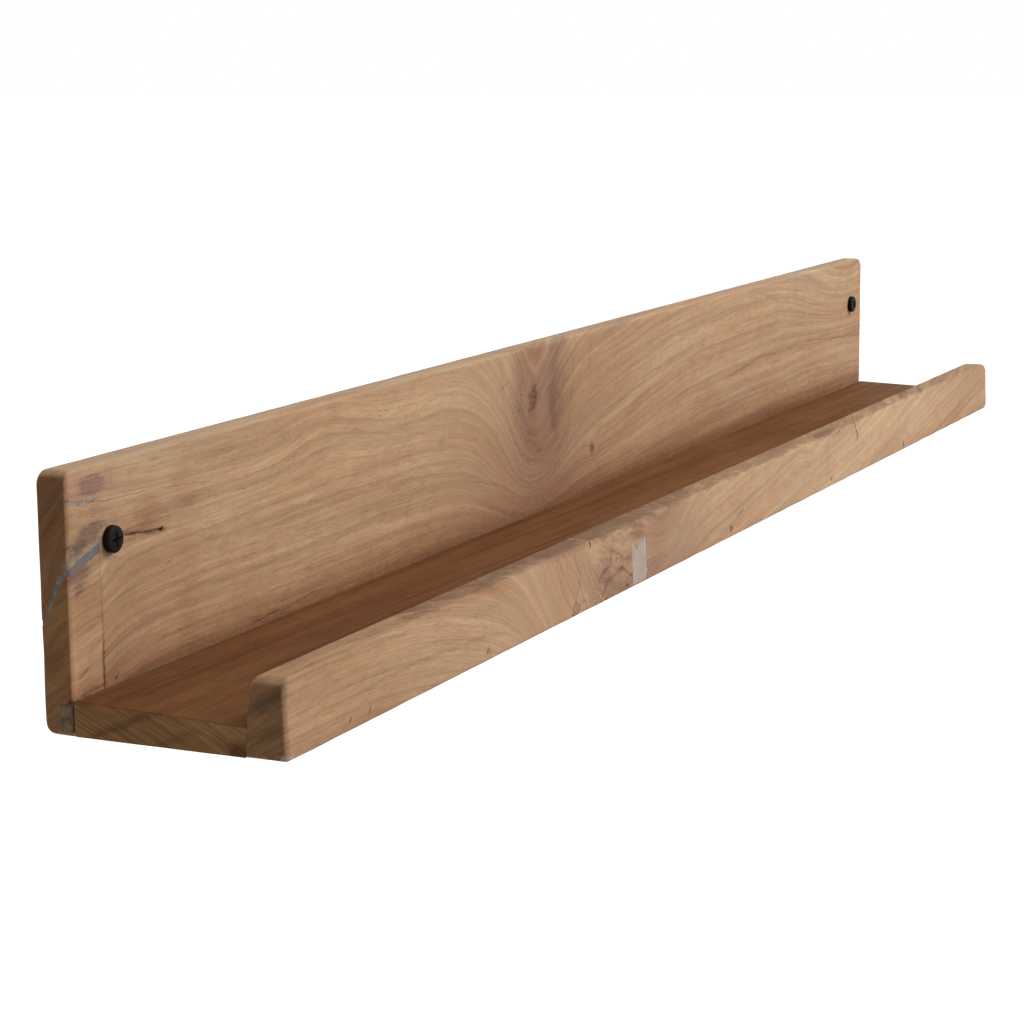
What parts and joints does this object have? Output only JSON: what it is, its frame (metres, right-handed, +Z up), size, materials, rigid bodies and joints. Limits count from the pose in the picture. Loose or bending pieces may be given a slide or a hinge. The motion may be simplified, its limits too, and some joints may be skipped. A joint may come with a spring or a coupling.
{
  "type": "wall shelf",
  "caption": "Long wooden picture ledge: a low back board screwed to the wall, a narrow tray and a raised front lip, with eased edges and putty repairs.",
  "frame": {"origin": "on the wall plane (the back board's rear face) at the shelf's mid-length, at the height of the two mounting screws", "axes": "+X along the shelf to the right as seen from the front, +Y into the wall, +Z up"},
  "size_m": [1, 0.1262, 0.104],
  "materials": {
    "teak_board": "planed and sanded, bare, with knots, mineral streaks and a drying check",
    "teak_patch": "planed and sanded, bare, grain set steeper than the board's",
    "teak_tray": "planed, darker red-brown heartwood, bare",
    "teak_lip": "planed and sanded, bare, figured grain about a knot",
    "wood_putty": "dry grey-beige wood putty, sanded flush",
    "black_steel": "black phosphated, satin",
    "zinc_steel": "yellow zinc plated",
    "brad_steel": "dull steel, darkened in the wood"
  },
  "bodies": {
    "root": {"back_board": "teak_board", "corner_patch": "teak_patch", "tray_board": "teak_tray", "front_lip": "teak_lip", "patch_filler": "wood_putty", "heel_filler": "wood_putty", "streak_filler": "wood_putty", "seam_filler": "wood_putty", "lip_filler": "wood_putty", "lip_corner_filler": "wood_putty", "mounting_screw_left": "black_steel", "mounting_screw_right": "black_steel", "tray_screw_1": "zinc_steel", "tray_screw_2": "zinc_steel", "tray_screw_3": "zinc_steel", "tray_screw_4": "zinc_steel", "tray_screw_5": "zinc_steel", "tray_screw_6": "zinc_steel", "lip_brad_1": "brad_steel", "lip_brad_2": "brad_steel", "lip_brad_3": "brad_steel", "lip_brad_4": "brad_steel", "lip_brad_5": "brad_steel", "lip_brad_6": "brad_steel"}
  },
  "joints": []
}
